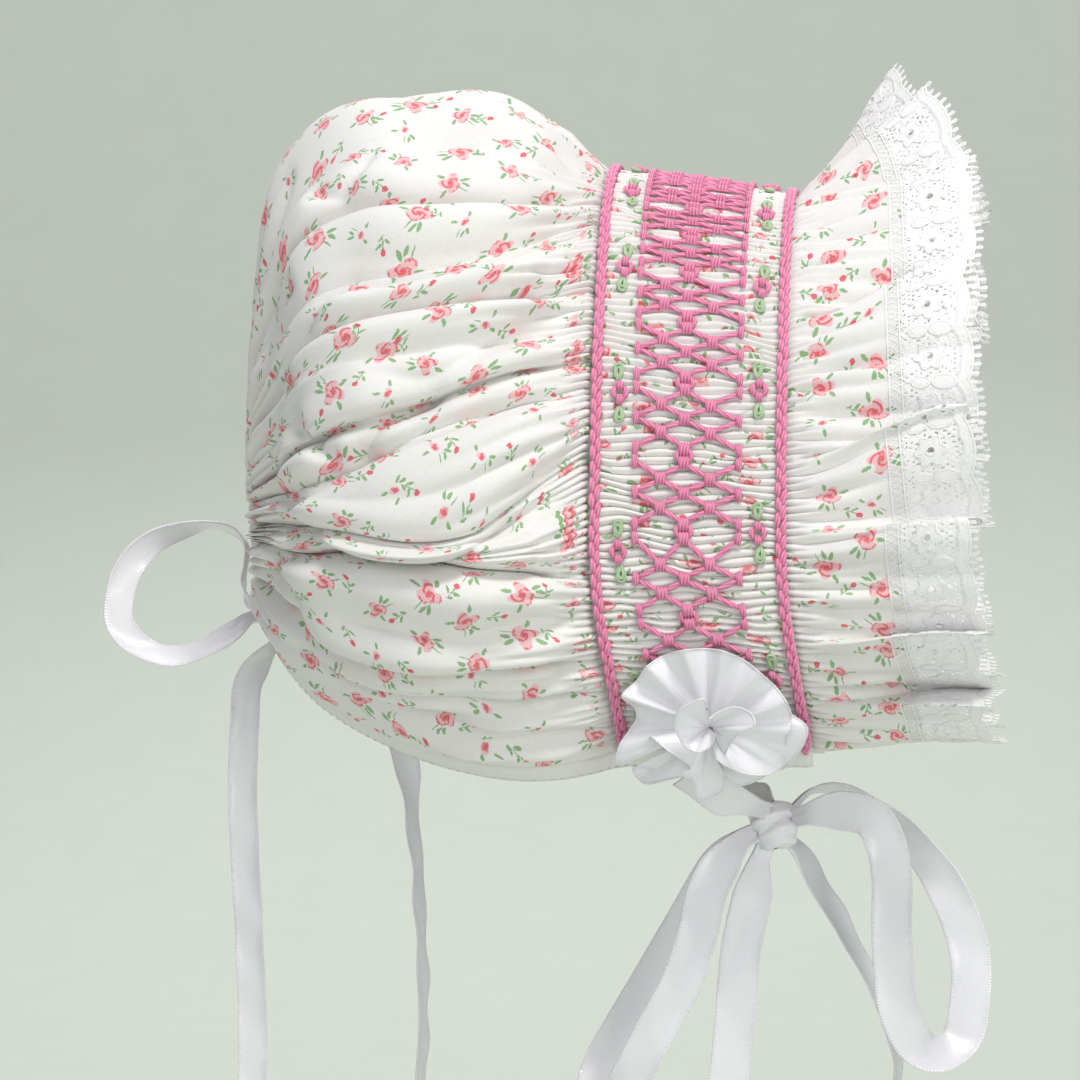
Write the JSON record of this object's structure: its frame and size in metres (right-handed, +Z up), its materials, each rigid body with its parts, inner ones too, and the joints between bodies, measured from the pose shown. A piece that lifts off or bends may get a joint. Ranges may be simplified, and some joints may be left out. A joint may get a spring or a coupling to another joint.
{
  "type": "baby bonnet",
  "caption": "Smocked cotton baby bonnet: puffed crown drawn to a ring, embroidered smocked band, lace-edged front ruffle, satin rosettes and ribbon bows.",
  "frame": {"origin": "the band's inner face at its top middle, where the bonnet sits on the top of the head", "axes": "+Z up, -Y out of the face opening, +X to the wearer's left"},
  "size_m": [0.1592, 0.2147, 0.2584],
  "materials": {
    "print_cotton": "white cotton lawn with a small rosebud print",
    "smocked_cotton": "the same printed cotton, drawn up in fine pleats",
    "plain_cotton": "white cotton hem",
    "lace": "white cotton lace",
    "satin": "white satin ribbon",
    "pink_floss": "stranded cotton embroidery thread",
    "green_floss": "stranded cotton embroidery thread"
  },
  "bodies": {
    "root": {"crown": "print_cotton", "smocked_band": "smocked_cotton", "front_ruffle": "print_cotton", "lace_edging": "lace", "neck_binding_right": "plain_cotton", "neck_binding_left": "plain_cotton", "back_casing": "print_cotton", "rosette_right": "satin", "rosette_left": "satin", "chin_tie_right": "satin", "chin_tie_left": "satin", "chin_knot": "satin", "chin_loop_front": "satin", "chin_loop_back": "satin", "chin_tail_front": "satin", "chin_tail_back": "satin", "back_knot": "satin", "back_loop_left": "satin", "back_loop_right": "satin", "back_tail_right": "satin", "back_tail_left": "satin"}
  },
  "joints": []
}
